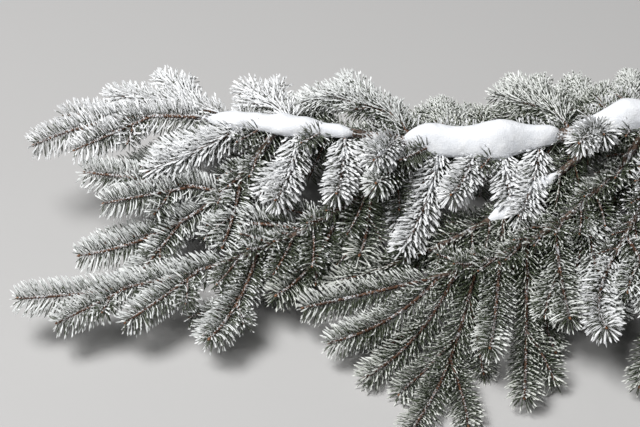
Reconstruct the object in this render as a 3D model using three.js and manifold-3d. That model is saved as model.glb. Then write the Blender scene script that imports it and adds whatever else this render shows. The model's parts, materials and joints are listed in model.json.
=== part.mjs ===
// A frosted spruce branch, sawn from its tree and laid on the ground with the snow still on it.
// Millimetres and degrees. +Z is up, the floor is Z = 0, and the limb runs from its sawn face towards -X.
//
// The limb carries side boughs, and limb and boughs carry sprays. A spray is one leading shoot with side
// shoots, each a slim core that needles stand out of. Directions are given as a swing and a rise:
// swing 0 runs on towards the limb's tip, +90 towards the near side (-Y) and -90 towards the far side,
// and rise is the slope above level ground.
import * as THREE from "three";
import Module from "manifold-3d";

const wasm = await Module();
wasm.setup();

// Driving sizes
const CUT_FACE = new THREE.Vector3(325, 58.1, 120); // centre of the sawn face
const BUTT_RADIUS = 8.5; // the limb at the sawn face
const LIMB_TIP_RADIUS = 2.6;
const BOUGH_ROOT_RADIUS = 3.6;
const BOUGH_TIP_RADIUS = 2.2;
const SHOOT_RADIUS = 2.2; // core of a leading shoot, bark and needle cushions together
const SIDE_SHOOT_RADIUS = 1.8;
const SHOOT_TIP_RADIUS = 1.1;
const NEEDLE_LENGTH = 19;
const NEEDLE_LEAN = 60; // angle between a needle and its shoot
const LAST_NEEDLE_LEAN = 28; // round the end bud they point forward
const NEEDLE_EVERY = 12.5; // one ring of needles for each of these lengths of shoot
const NEEDLE_COLUMNS = 6; // each ring has needles in every second column
const BARE_ROOT = 7; // a shoot has no needles this close to its root
const SHORTEST_NEEDLE = 4;
const REST_HEIGHT = 9; // the needles under a shoot hold it this far off the ground
const STEP = 5; // length of one step of a course
const CLEARANCE = 0.3; // between two neighbouring pieces
const NEEDLE_CLEARANCE = 1.3; // how much nearer to its own shoot a needle stays
const SIDE_SHOOT_EVERY = 46; // one for each of these lengths of leading shoot
const FIRST_SIDE_SHOOT = 0.1; // where they begin, as a share of the leading shoot
const SIDE_SHOOT_SPAN = 0.54; // over which share of it they stand
const SIDE_SHOOT_SWING = [28, 42]; // angle to the leading shoot
const SIDE_SHOOT_BEND = 16; // how far they turn back along it
const SIDE_SHOOT_RISE = [-8, 6]; // angle above or below the leading shoot
const SIDE_SHOOT_DROOP = 12; // how far their tips droop
const SIDE_SHOOT_SHARE = [0.68, 0.86]; // length, as a share of what is left of the leading shoot
const SIDE_SHOOT_LENGTH = [26, 84]; // shortest and longest
const SIDE_SHOOT_ROOM = 18; // least distance from a side shoot to anything it doesn't grow from
const SNOW_HANG = 2.5; // how much lower the edges of snow are than its middle
const SNOW_MARGIN = 0.9; // between snow and the needles cut clear of it
const SNOW_RING_EVERY = 13;
const SNOW_SIDES = 10;
const LIMB_SIDES = 12;
const BOUGH_SIDES = 7;
const LIMB_RING_EVERY = 34;
const BOUGH_RING_EVERY = 24;

// Course of the limb: distance from the sawn face, sideways towards the far side, height above ground
const LIMB_COURSE = [
  [0, 0, 120],
  [103, -2, 118],
  [172, -9, 106],
  [241, -14, 98],
  [310, -9, 102],
  [357, -4, 107],
  [430, 4, 111],
  [484, 11, 112],
];

// Side boughs: name, distance along the limb, length, swing and rise at the root, swing and rise at the tip
const BOUGHS = [
  ["bough_near_short", 421, 96, 58, -30, 34, -18],
  ["bough_near_long", 284, 205, 40, -19, 22, -6],
  ["bough_near_middle", 120, 190, 38, -24, 24, -10],
  ["bough_near_front", 90, 250, 60, -20, 9, -10],
  ["bough_near_butt", 45, 150, 52, -20, 60, -20],
  ["bough_far_tip", 352, 92, -48, -14, -34, -24],
  ["bough_far_middle", 212, 120, -54, -16, -36, -26],
  ["bough_far_butt", 74, 140, -56, -20, -38, -28],
];

// Sprays: name, what it grows on, how far along that, length of its leading shoot, swing and rise at the
// root, swing and rise at the tip. The first one on each bough has no root of its own: it grows on from
// the end.
const END = null;
const SPRAYS = [
  ["limb_leader", "limb", END, 154, 0, 0, 12, -22],
  ["limb_under_leader", "limb", 462, 118, 18, -30, 4, -12],
  ["limb_far_leader", "limb", 452, 116, -28, 2, -16, -8],
  ["limb_near_1", "limb", 446, 96, 40, -8, 22, -10],
  ["limb_near_2", "limb", 402, 86, 84, -30, 70, 8],
  ["limb_near_3", "limb", 361, 76, 88, -26, 80, 14],
  ["limb_near_4", "limb", 316, 62, 80, 26, 62, 8],
  ["limb_near_5", "limb", 300, 80, 62, -8, 70, 24],
  ["limb_near_6", "limb", 276, 112, 78, -26, 64, -8],
  ["limb_near_7", "limb", 244, 68, 72, -16, 66, 16],
  ["limb_near_8", "limb", 222, 58, 98, -30, 88, 2],
  ["limb_near_9", "limb", 188, 84, 80, -28, 68, 4],
  ["limb_near_10", "limb", 138, 62, 76, 30, 62, 10],
  ["limb_near_11", "limb", 64, 70, 84, 24, 66, 0],
  ["limb_far_1", "limb", 404, 80, -62, 8, -44, -16],
  ["limb_far_2", "limb", 300, 112, -52, 34, 0, -30],
  ["limb_far_3", "limb", 160, 96, -70, 12, -50, -22],
  ["near_short_1", "bough_near_short", END, 116, 34, -18, 8, -4],
  ["near_short_2", "bough_near_short", 74, 118, -4, 10, -12, -2],
  ["near_short_3", "bough_near_short", 52, 66, 84, -20, 70, -24],
  ["near_long_1", "bough_near_long", END, 178, 22, -8, 8, 4],
  ["near_long_2", "bough_near_long", 176, 100, 76, -24, 60, 4],
  ["near_long_3", "bough_near_long", 96, 96, 66, -34, 48, 6],
  ["near_long_4", "bough_near_long", 62, 66, 86, -36, 76, 10],
  ["near_long_5", "bough_near_long", 132, 76, -14, 4, -4, -10],
  ["near_middle_1", "bough_near_middle", END, 88, 16, -12, 6, -14],
  ["near_middle_2", "bough_near_middle", 112, 76, 82, -20, 70, -30],
  ["near_front_1", "bough_near_front", END, 108, 10, -14, 12, -6],
  ["near_front_2", "bough_near_front", 240, 106, 40, -26, 22, 2],
  ["near_front_3", "bough_near_front", 226, 122, 58, -36, 38, -4],
  ["near_front_4", "bough_near_front", 208, 181, 74, -36, 64, -2],
  ["near_front_5", "bough_near_front", 186, 104, 84, -26, 80, 12],
  ["near_front_6", "bough_near_front", 160, 150, 88, -40, 84, 2],
  ["near_front_7", "bough_near_front", 130, 104, 92, -30, 92, 14],
  ["near_front_8", "bough_near_front", 96, 120, 98, -38, 92, 6],
  ["near_butt_1", "bough_near_butt", END, 104, 60, -20, 100, 22],
  ["near_butt_2", "bough_near_butt", 128, 88, 106, 6, 92, -24],
  ["near_butt_3", "bough_near_butt", 100, 184, 102, -30, 82, -2],
  ["near_butt_4", "bough_near_butt", 56, 132, 106, -20, 88, -22],
  ["far_tip_1", "bough_far_tip", END, 104, -34, -24, -22, -20],
  ["far_tip_2", "bough_far_tip", 56, 76, -94, -12, -78, -26],
  ["far_middle_1", "bough_far_middle", END, 112, -36, -26, -24, -14],
  ["far_middle_2", "bough_far_middle", 78, 96, -96, -14, -78, -26],
  ["far_butt_1", "bough_far_butt", END, 124, -38, -26, -26, -14],
  ["far_butt_2", "bough_far_butt", 96, 104, -98, -14, -80, -24],
  ["far_butt_3", "bough_far_butt", 50, 92, -112, -4, -92, -24],
];

// Snow lying along a limb or bough: name, what it lies on, where it begins and ends along that, half its
// width, its height, how far its crest lies off the middle
const SNOW = [
  ["snow_tip", "limb", 352, 484, 13, 11, 2],
  ["snow_middle", "limb", 170, 310, 17, 24, 0],
  ["snow_butt", "limb", 42, 162, 16, 20, 2],
  ["snow_bough", "bough_near_middle", 52, 132, 8, 8, 0],
];

const BARK = new THREE.MeshStandardMaterial({ color: 0x6b4a36, roughness: 0.9, metalness: 0 });
const NEEDLES = new THREE.MeshStandardMaterial({ color: 0xa9b3aa, roughness: 0.8, metalness: 0 });
const SNOW_WHITE = new THREE.MeshStandardMaterial({ color: 0xf2f5fa, roughness: 0.7, metalness: 0 });

const radians = THREE.MathUtils.degToRad;
const mix = THREE.MathUtils.lerp;

// Seeded numbers from 0 to 1, the same on every run
function seeded(seed) {
  let state = (seed * 2654435761) >>> 0;
  return () => {
    state = (Math.imul(state, 1664525) + 1013904223) >>> 0;
    return state / 4294967296;
  };
}

function heading(swing, rise) {
  const level = Math.cos(radians(rise));
  return new THREE.Vector3(
    -Math.cos(radians(swing)) * level,
    -Math.sin(radians(swing)) * level,
    Math.sin(radians(rise)),
  );
}

// A course is the line that a piece grows along: points, the length up to each, and the swing and rise.
function courseOf(points) {
  const lengths = [0];
  for (let i = 1; i < points.length; i++) {
    lengths.push(lengths[i - 1] + points[i].distanceTo(points[i - 1]));
  }
  return { points, lengths, length: lengths.at(-1) };
}

function placeOn(course, distance) {
  const { points, lengths } = course;
  let i = 1;
  while (i < points.length - 1 && lengths[i] < distance) i++;
  const share = (distance - lengths[i - 1]) / (lengths[i] - lengths[i - 1]);
  const point = points[i - 1].clone().lerp(points[i], share);
  const tangent = points[i].clone().sub(points[i - 1]).normalize();
  return { point, tangent };
}

// Height of a shoot that the ground bears: it settles smoothly on REST_HEIGHT instead of going below it.
function borne(height) {
  const spare = height - REST_HEIGHT;
  return REST_HEIGHT + (spare + Math.sqrt(spare * spare + 16)) / 2;
}

function grow(root, length, swing, rise, endSwing, endRise) {
  const steps = Math.max(3, Math.round(length / STEP));
  const free = root.clone();
  const points = [root.clone()];
  for (let i = 0; i < steps; i++) {
    const share = (i + 0.5) / steps;
    free.addScaledVector(heading(mix(swing, endSwing, share), mix(rise, endRise, share)), length / steps);
    points.push(new THREE.Vector3(free.x, free.y, borne(free.z)));
  }
  return courseOf(points);
}

// The limb's course as a smooth curve through its points, in the part's own frame
function limbCourse() {
  const through = LIMB_COURSE.map(
    ([distance, side, height]) => new THREE.Vector3(CUT_FACE.x - distance, CUT_FACE.y + side, height),
  );
  const curve = new THREE.CatmullRomCurve3(through, false, "catmullrom", 0.5);
  return courseOf(curve.getPoints(LIMB_COURSE.length * 12));
}

// Radius of a limb or bough at a distance along it
function radiusAt(wood, distance) {
  return mix(wood.rootRadius, wood.tipRadius, distance / wood.course.length);
}

// Where a piece begins that grows out of round wood at a distance along it, in a direction: its own edge is
// then CLEARANCE away from the wood.
function rootOn(wood, distance, swing, rise, radius) {
  const { point, tangent } = placeOn(wood.course, distance);
  const direction = heading(swing, rise);
  const along = direction.dot(tangent);
  const across = Math.sqrt(1 - along * along);
  const out = (radiusAt(wood, distance) + CLEARANCE + radius * Math.abs(along)) / across;
  return point.addScaledVector(direction, out);
}

// Axes that turn with a course: the tangent, and two more square to it
function framesOf(course, distances) {
  let normal = null;
  return distances.map((distance) => {
    const { point, tangent } = placeOn(course, distance);
    if (!normal) normal = new THREE.Vector3(0, 0, 1);
    normal = normal.clone().addScaledVector(tangent, -normal.dot(tangent)).normalize();
    return { point, tangent, normal, side: tangent.clone().cross(normal) };
  });
}

// A closed skin over rings of points, with one point at each end. Neighbouring quads are split along
// opposite diagonals, so that every second point of a ring can be drawn out to a needle on its own.
function skin(start, rings, end) {
  const sides = rings[0].length;
  const at = (ring, side) => 1 + ring * sides + (side % sides);
  const last = 1 + rings.length * sides;
  const index = [];
  for (let side = 0; side < sides; side++) {
    index.push(0, at(0, side + 1), at(0, side));
    index.push(last, at(rings.length - 1, side), at(rings.length - 1, side + 1));
    for (let ring = 0; ring < rings.length - 1; ring++) {
      const [a, b] = [at(ring, side), at(ring, side + 1)];
      const [c, d] = [at(ring + 1, side + 1), at(ring + 1, side)];
      index.push(...((ring + side) % 2 ? [a, b, c, a, c, d] : [a, b, d, b, c, d]));
    }
  }
  return new THREE.BufferGeometry().setFromPoints([start, ...rings.flat(), end]).setIndex(index);
}

function solidOf(geometry) {
  const mesh = new wasm.Mesh({
    numProp: 3,
    vertProperties: new Float32Array(geometry.attributes.position.array),
    triVerts: new Uint32Array(geometry.index.array),
  });
  return new wasm.Manifold(mesh);
}

function meshOf(name, solid, material) {
  const { vertProperties, triVerts } = solid.getMesh();
  const geometry = new THREE.BufferGeometry();
  geometry.setAttribute("position", new THREE.BufferAttribute(vertProperties, 3));
  geometry.setIndex(new THREE.BufferAttribute(triVerts, 1));
  const mesh = new THREE.Mesh(geometry, material);
  mesh.name = name;
  return mesh;
}

// A tapering round limb or bough, or the room it takes up with a margin all round
function woodSkin(wood, margin) {
  const sides = wood.cutSquare ? LIMB_SIDES : BOUGH_SIDES;
  const every = wood.cutSquare ? LIMB_RING_EVERY : BOUGH_RING_EVERY;
  const count = Math.round(wood.course.length / every);
  const distances = Array.from({ length: count + 1 }, (_, i) => (wood.course.length * i) / count);
  const frames = framesOf(wood.course, distances);
  if (wood.cutSquare) Object.assign(frames[0], squareTo(new THREE.Vector3(-1, 0, 0)));
  const rings = frames.map(({ point, normal, side }, i) => {
    const radius = radiusAt(wood, distances[i]) + margin;
    return Array.from({ length: sides }, (_, k) => {
      const turn = (2 * Math.PI * k) / sides;
      return point
        .clone()
        .addScaledVector(normal, radius * Math.cos(turn))
        .addScaledVector(side, radius * Math.sin(turn));
    });
  });
  return skin(frames[0].point, rings, frames.at(-1).point);
}

function squareTo(tangent) {
  const normal = new THREE.Vector3(0, 0, 1);
  return { tangent, normal, side: tangent.clone().cross(normal) };
}

// Distance from a point to a course
const onLine = new THREE.Line3();
const nearest = new THREE.Vector3();
function distanceTo(course, point) {
  let best = Infinity;
  for (let i = 1; i < course.points.length; i++) {
    onLine.set(course.points[i - 1], course.points[i]);
    onLine.closestPointToPoint(point, true, nearest);
    best = Math.min(best, nearest.distanceTo(point));
  }
  return best;
}

// The woody frame of the branch
const limb = {
  name: "limb",
  course: limbCourse(),
  rootRadius: BUTT_RADIUS,
  tipRadius: LIMB_TIP_RADIUS,
  cutSquare: true,
  endSwing: -8,
  endRise: 3,
};
const boughs = BOUGHS.map(([name, distance, length, swing, rise, endSwing, endRise]) => {
  const root = rootOn(limb, distance, swing, rise, BOUGH_ROOT_RADIUS);
  const course = grow(root, length, swing, rise, endSwing, endRise);
  return { name, course, rootRadius: BOUGH_ROOT_RADIUS, tipRadius: BOUGH_TIP_RADIUS, endSwing, endRise };
});
const wood = new Map([limb, ...boughs].map((piece) => [piece.name, piece]));

// The leading shoot of each spray
const sprays = SPRAYS.map(([name, on, distance, length, swing, rise, endSwing, endRise], i) => {
  const bearer = wood.get(on);
  const growsOn = distance === END;
  const end = placeOn(bearer.course, bearer.course.length);
  const root = growsOn
    ? end.point.addScaledVector(end.tangent, CLEARANCE)
    : rootOn(bearer, distance, swing, rise, SHOOT_RADIUS);
  const from = growsOn ? [bearer.endSwing, bearer.endRise] : [swing, rise];
  const lead = {
    course: grow(root, length, ...from, endSwing, endRise),
    radius: SHOOT_RADIUS,
    swing: from[0],
    rise: from[1],
    endSwing,
    endRise,
    bearer: growsOn ? null : bearer,
  };
  return { name, seed: i + 1, shoots: [lead] };
});

// Side shoots stand alternately to the left and right of the leading one. One that would come too close
// to anything it doesn't grow from is left out.
for (const spray of sprays) {
  const random = seeded(spray.seed);
  const [lead] = spray.shoots;
  const { length } = lead.course;
  const count = Math.floor(length / SIDE_SHOOT_EVERY);
  let hand = random() < 0.5 ? -1 : 1;
  for (let i = 0; i < count; i++) {
    const distance = length * (FIRST_SIDE_SHOOT + (SIDE_SHOOT_SPAN * (i + 0.6 * random())) / count);
    const wanted = (length - distance) * mix(...SIDE_SHOOT_SHARE, random());
    const reach = THREE.MathUtils.clamp(wanted, ...SIDE_SHOOT_LENGTH);
    const share = distance / length;
    const swing = mix(lead.swing, lead.endSwing, share) + hand * mix(...SIDE_SHOOT_SWING, random());
    const rise = mix(lead.rise, lead.endRise, share) + mix(...SIDE_SHOOT_RISE, random());
    const root = placeOn(lead.course, distance).point;
    const course = grow(root, reach, swing, rise, swing - hand * SIDE_SHOOT_BEND, rise - SIDE_SHOOT_DROOP);
    const tests = course.points.filter((point) => point.distanceTo(root) > 1.6 * SIDE_SHOOT_ROOM);
    const crowded = (other) => tests.some((point) => distanceTo(other, point) < SIDE_SHOOT_ROOM);
    const pieces = [...wood.values(), ...sprays.flatMap((each) => each.shoots)];
    if (!pieces.some((piece) => piece !== lead && crowded(piece.course))) {
      spray.shoots.push({ course, radius: SIDE_SHOOT_RADIUS });
    }
    hand = -hand;
  }
}

// Wood is faceted, so that its faces lie a little inside its round outline. Each bough and leading shoot is
// drawn back to them along its own line, to CLEARANCE away.
const caster = new THREE.Raycaster();
function seat(piece, bearer, radius) {
  const [root, next] = piece.course.points;
  const back = root.clone().sub(next).normalize();
  caster.set(root, back);
  const [face] = caster.intersectObject(new THREE.Mesh(woodSkin(bearer, 0), BARK));
  const slope = Math.abs(face.face.normal.dot(back));
  const kept = (CLEARANCE + radius * Math.sqrt(1 - slope * slope)) / slope;
  root.addScaledVector(back, face.distance - kept);
  piece.course = courseOf(piece.course.points);
}
for (const bough of boughs) seat(bough, limb, BOUGH_ROOT_RADIUS);
for (const { shoots: [lead] } of sprays) if (lead.bearer) seat(lead, lead.bearer, SHOOT_RADIUS);

// Snow as a pillow over the wood: round on top, and lower at its edges than in the middle
function snowSkin(bearer, from, to, halfWidth, height, offset, margin) {
  const count = Math.round((to - from) / SNOW_RING_EVERY);
  const around = SNOW_SIDES;
  const shares = Array.from({ length: count + 1 }, (_, i) => (i + 0.5) / (count + 1));
  const distances = shares.map((share) => mix(from - 2 * margin, to + 2 * margin, share));
  const frames = framesOf(bearer.course, distances);
  const rings = frames.map(({ point, tangent }, i) => {
    const share = shares[i];
    const rounded = Math.sqrt(Math.max(0, 1 - (2 * share - 1) ** 4));
    const swell = rounded * (0.88 + 0.12 * Math.cos(share * 14 + from));
    const across = new THREE.Vector3(-tangent.y, tangent.x, 0).normalize();
    const base = point.z + 0.75 * radiusAt(bearer, distances[i]) - margin;
    return Array.from({ length: around }, (_, k) => {
      const turn = (2 * Math.PI * k) / around;
      const reach = (halfWidth * swell + margin) * Math.cos(turn);
      const up = Math.sin(turn) > 0 ? (height * swell + 2 * margin) * Math.sin(turn) : 0;
      const hang = SNOW_HANG * Math.cos(turn) ** 2;
      return point
        .clone()
        .addScaledVector(across, reach + offset * Math.max(0, Math.sin(turn)))
        .setZ(base + up - hang);
    });
  });
  return skin(middleOf(rings[0]), rings, middleOf(rings.at(-1)));
}

function middleOf(points) {
  return points.reduce((sum, point) => sum.add(point), new THREE.Vector3()).divideScalar(points.length);
}

// How long a needle can be without leaving the space that is nearer to its own shoot than to any other
// piece, or going into the ground
function needleRoom(foot, direction, length, own, neighbours) {
  const point = new THREE.Vector3();
  for (let reach = length; reach >= SHORTEST_NEEDLE; reach -= 2) {
    let clear = true;
    for (let part = 1; part <= 3 && clear; part++) {
      point.copy(foot).addScaledVector(direction, (reach * part) / 3);
      const ownDistance = distanceTo(own, point) + NEEDLE_CLEARANCE;
      clear = !neighbours.some((other) => distanceTo(other.course, point) - other.girth < ownDistance);
    }
    if (clear) return reach;
  }
  return 0;
}

// A shoot with its needles: a slim core, in whose skin every second point of a ring is drawn out to a
// needle
function shootSkin(shoot, neighbours, random) {
  const { course, radius } = shoot;
  const count = Math.max(3, Math.round((course.length - BARE_ROOT) / NEEDLE_EVERY));
  const distances = [0];
  for (let i = 0; i <= count; i++) distances.push(mix(BARE_ROOT, course.length - 2, i / count));
  const frames = framesOf(course, distances);
  const turned = random() * Math.PI;
  const rings = frames.map(({ point, tangent, normal, side }, ring) => {
    const share = distances[ring] / course.length;
    const core = mix(radius, SHOOT_TIP_RADIUS, share);
    const lean = radians(mix(NEEDLE_LEAN, LAST_NEEDLE_LEAN, Math.max(0, (share - 0.72) / 0.28) ** 1.5));
    return Array.from({ length: NEEDLE_COLUMNS }, (_, column) => {
      const turn = turned + (2 * Math.PI * column) / NEEDLE_COLUMNS;
      const out = new THREE.Vector3()
        .addScaledVector(normal, Math.cos(turn))
        .addScaledVector(side, Math.sin(turn));
      const foot = point.clone().addScaledVector(out, core);
      if (ring === 0 || (ring + column) % 2) return foot;
      const direction = out.multiplyScalar(Math.sin(lean)).addScaledVector(tangent, Math.cos(lean));
      const wanted = NEEDLE_LENGTH * (0.86 + 0.14 * random()) * (share < 0.2 ? 0.75 : 1);
      const room = needleRoom(foot, direction, wanted, course, neighbours);
      const tip = foot.clone().addScaledVector(direction, room);
      tip.z = Math.max(0, tip.z);
      return tip;
    });
  });
  const end = placeOn(course, course.length);
  return skin(frames[0].point, rings, end.point.addScaledVector(end.tangent, 3));
}

// Snow is hollowed underneath by the wood it lies on
const woodRooms = [...wood.values()].map((piece) => solidOf(woodSkin(piece, CLEARANCE)));
const snowSolids = SNOW.map(([name, on, from, to, halfWidth, height, offset]) => {
  const pillow = solidOf(snowSkin(wood.get(on), from, to, halfWidth, height, offset, 0));
  return {
    name,
    solid: largestOf(woodRooms.reduce((solid, room) => solid.subtract(room), pillow)),
    room: solidOf(snowSkin(wood.get(on), from, to, halfWidth, height, offset, SNOW_MARGIN)),
  };
});

function largestOf(solid) {
  return solid.decompose().sort((a, b) => b.volume() - a.volume())[0];
}

// One solid for a spray: its shoots joined, cut clear of the snow, with any loose scrap left out
function spraySolid(spray) {
  const random = seeded(1000 + spray.seed);
  const everyShoot = sprays.flatMap((each) => each.shoots);
  const shoots = spray.shoots.map((shoot) => {
    const neighbours = [
      ...[...wood.values()].map((piece) => ({ course: piece.course, girth: piece.rootRadius })),
      ...everyShoot.filter((each) => each !== shoot).map((each) => ({ course: each.course, girth: 0 })),
    ];
    return solidOf(shootSkin(shoot, neighbours, random));
  });
  let solid = shoots[0];
  for (const shoot of shoots.slice(1)) solid = solid.add(shoot);
  for (const snow of snowSolids) solid = solid.subtract(snow.room);
  return largestOf(solid);
}

const branch = new THREE.Group();
branch.add(meshOf("limb", solidOf(woodSkin(limb, 0)), BARK));
for (const bough of boughs) branch.add(meshOf(bough.name, solidOf(woodSkin(bough, 0)), BARK));
for (const spray of sprays) branch.add(meshOf(spray.name, spraySolid(spray), NEEDLES));
for (const snow of snowSolids) branch.add(meshOf(snow.name, snow.solid, SNOW_WHITE));

export default branch;
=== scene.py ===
# %% [markdown]
# # A frosted spruce branch
#
# One branch of a spruce lies on the floor as it was cut, white with hoarfrost, with snow along its upper
# side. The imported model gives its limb, boughs, sprays and snow as plain solids. Here the same branch is
# grown again by the same rule, and then every needle, bud and crystal of rime is put on it.
#
# Lengths are worked out in millimetres, because that is how a branch is measured, and become metres only
# when a mesh is made. The camera, the lamps and the grain of the finishes are in metres.

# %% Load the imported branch
import json
import math

import bpy
import numpy as np
from mathutils import Matrix, Vector


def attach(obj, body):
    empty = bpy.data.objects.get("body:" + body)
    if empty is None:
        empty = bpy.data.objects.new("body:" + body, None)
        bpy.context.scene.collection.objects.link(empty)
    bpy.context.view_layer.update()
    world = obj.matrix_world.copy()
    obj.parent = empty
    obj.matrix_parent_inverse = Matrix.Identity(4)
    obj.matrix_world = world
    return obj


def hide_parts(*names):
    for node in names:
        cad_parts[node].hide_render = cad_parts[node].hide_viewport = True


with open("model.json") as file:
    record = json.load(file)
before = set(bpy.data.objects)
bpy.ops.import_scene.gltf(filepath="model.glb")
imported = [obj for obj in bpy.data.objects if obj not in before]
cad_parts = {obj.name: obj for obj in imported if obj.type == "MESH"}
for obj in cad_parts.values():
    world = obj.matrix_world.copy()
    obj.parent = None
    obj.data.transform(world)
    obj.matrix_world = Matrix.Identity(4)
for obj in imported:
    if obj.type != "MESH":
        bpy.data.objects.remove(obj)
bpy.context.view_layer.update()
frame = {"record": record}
MM = 0.001

# %% [markdown]
# ## Camera
#
# The photograph was taken with a long lens from a little above, square to the limb. A long lens keeps the
# near and far sprays at nearly the same scale. The point that it aims at lies under the middle of the
# snow, and the limb leaves the picture on the right. The standard view transform keeps snow near white,
# as it is in the photograph.

# %% Camera
VIEW_RISE = 36.0  # degrees above level
VIEW_DISTANCE = 1.83
LENS = 120.0
AIM = Vector((-0.055, -0.026, 0.077))

camera_data = bpy.data.cameras.new("camera")
camera_data.lens = LENS
camera_data.sensor_width = 36.0
camera_data.clip_end = 50.0
camera = bpy.data.objects.new("camera", camera_data)
backward = Vector((0, -math.cos(math.radians(VIEW_RISE)), math.sin(math.radians(VIEW_RISE))))
turned = (-backward).to_track_quat("-Z", "Y").to_matrix().to_4x4()
camera.matrix_world = Matrix.Translation(AIM + VIEW_DISTANCE * backward) @ turned
bpy.context.scene.collection.objects.link(camera)
bpy.context.scene.camera = camera
bpy.context.scene.view_settings.view_transform = "Standard"
print("camera at", [round(v, 3) for v in camera.location])

# %% [markdown]
# ## Shader sums
#
# A finish is a small sum: so much of one colour, so much of another, a grain on top. Written as nodes it
# is hard to read, so a socket is wrapped in a class whose operators add the Math nodes.

# %% Sockets that can be added and multiplied
class Wire:
    """A number that runs through a material. Each operator adds one Math node and returns its result. The
    reflected forms let a plain number stand first, as in 1 - mask."""

    def __init__(self, finish, socket):
        self.finish = finish
        self.socket = socket

    def sum(self, operation, *values):
        """One Math node that works on these values."""
        return self.finish.node("ShaderNodeMath", {"operation": operation}, dict(enumerate(values)))

    def __add__(self, other):
        return self.sum("ADD", self, other)

    def __sub__(self, other):
        return self.sum("SUBTRACT", self, other)

    def __rsub__(self, other):
        return self.sum("SUBTRACT", other, self)

    def __mul__(self, other):
        return self.sum("MULTIPLY", self, other)

    def __pow__(self, other):
        return self.sum("POWER", self, other)

    __radd__ = __add__
    __rmul__ = __mul__

    def between(self, low, high):
        """0 below low, 1 above high and a straight slope between them."""
        values = {"Value": self, "From Min": low, "From Max": high}
        return self.finish.node("ShaderNodeMapRange", {"clamp": True}, values)


print("sockets can be added, multiplied and raised to a power")

# %% Finishes, made node by node
class Finish:
    """A material, made node by node."""

    def __init__(self, name, **surface):
        self.material = bpy.data.materials.new(name)
        self.material.use_nodes = True
        self.tree = self.material.node_tree
        self.shader = self.tree.nodes["Principled BSDF"]
        for socket, value in surface.items():
            self.feed(self.shader.inputs[socket.replace("_", " ")], value)

    def feed(self, socket, value):
        """Links a wire to the socket, or sets a plain value on it."""
        if isinstance(value, Wire):
            self.tree.links.new(value.socket, socket)
        else:
            socket.default_value = value

    def node(self, kind, settings=None, values=None, output=0):
        """Any node: its settings first, then the values or wires of its sockets. Returns one output."""
        made = self.tree.nodes.new(kind)
        for setting, value in (settings or {}).items():
            setattr(made, setting, value)
        for socket, value in (values or {}).items():
            self.feed(made.inputs[socket], value)
        return Wire(self, made.outputs[output])

    def place(self):
        """The point of the surface in metres, which on this branch is its place in the frame."""
        return self.node("ShaderNodeTexCoord", output="Object")

    def noise(self, size, detail=2.0):
        """Smooth noise from 0 to 1, with spots of about the given size in metres."""
        values = {"Vector": self.place(), "Scale": 1 / size, "Detail": detail}
        return self.node("ShaderNodeTexNoise", values=values)

    def mixed(self, share, first, second):
        """A colour that goes from the first to the second as share goes from 0 to 1."""
        first, second = (c if isinstance(c, Wire) else (*c, 1.0) for c in (first, second))
        # A Mix node has sockets of the same names for numbers, vectors and colours, so they go by number:
        # 0 is the share, 6 and 7 are the two colours, and 2 is the colour that comes out.
        return self.node("ShaderNodeMix", {"data_type": "RGBA"}, {0: share, 6: first, 7: second}, output=2)

    def mottled(self, noise, first, second, reach=0.2):
        """Spots of two colours: the first where the noise is below its middle by reach, the second where it
        is above by as much, and a blend between."""
        return self.mixed(noise.between(0.5 - reach, 0.5 + reach), first, second)

    def colour(self, wire):
        """The colour that the surface has before any light falls on it."""
        self.feed(self.shader.inputs["Base Color"], wire)

    def relief(self, height, depth):
        """Bends the light as if the surface rose by depth, in metres, where height is 1."""
        bump = self.node("ShaderNodeBump", values={"Height": height, "Distance": depth})
        self.feed(self.shader.inputs["Normal"], bump)


print("shader helpers ready")

# %% [markdown]
# ## Meshes from whole arrays
#
# A needle, a twig and the limb are all the same thing: a closed skin that starts in a point, runs over
# rings of points and ends in a point. The points could be added one by one, but there are half a million
# of them, and a loop is slow. Once the rule for the faces is written, thousands of needles are one array.

# %% Closed skins
def skin_faces(rings, sides):
    """Triangles of one closed skin. Point 0 is its start, then come rings of points, and its end is last.
    Rings turn right-handed about the way the skin runs, so that every face points outwards."""
    ring, side = np.meshgrid(np.arange(rings - 1), np.arange(sides), indexing="ij")
    across = (side + 1) % sides
    a, b = 1 + ring * sides + side, 1 + ring * sides + across
    c, d = b + sides, a + sides
    walls = np.stack([a, b, c, a, c, d], -1).reshape(-1, 3)
    one, two = np.arange(sides), (np.arange(sides) + 1) % sides
    last = 1 + rings * sides
    first_row, last_row = 1, last - sides
    start = np.stack([np.zeros(sides, int), first_row + two, first_row + one], 1)
    end = np.stack([np.full(sides, last), last_row + one, last_row + two], 1)
    return np.concatenate([start, walls, end])


def joined(skins):
    """One array of points and one of triangles from several skins."""
    starts = np.cumsum([0] + [len(points) for points, _ in skins[:-1]])
    triangles = [faces + start for (_, faces), start in zip(skins, starts)]
    return np.concatenate([points for points, _ in skins]), np.concatenate(triangles)


print("a needle's skin has", len(skin_faces(2, 4)), "triangles")

# %% Mesh objects
def make_piece(name, points, triangles, finish, slot, replaces=(), smooth=True):
    """A mesh object in its place on the branch, from points in millimetres and triples of their numbers."""
    mesh = bpy.data.meshes.new(name)
    mesh.vertices.add(len(points))
    mesh.vertices.foreach_set("co", (np.asarray(points, np.float32) * MM).ravel())
    mesh.loops.add(3 * len(triangles))
    mesh.loops.foreach_set("vertex_index", np.asarray(triangles, np.int32).ravel())
    mesh.polygons.add(len(triangles))
    mesh.polygons.foreach_set("loop_start", np.arange(0, 3 * len(triangles), 3, dtype=np.int32))
    mesh.polygons.foreach_set("use_smooth", np.full(len(triangles), smooth))
    mesh.update(calc_edges=True)
    mesh.materials.append(finish.material)
    made = bpy.data.objects.new(name, mesh)
    bpy.context.scene.collection.objects.link(made)
    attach(made, "root")
    if replaces:
        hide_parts(*replaces)
    print(name, len(triangles), "triangles")


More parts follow.
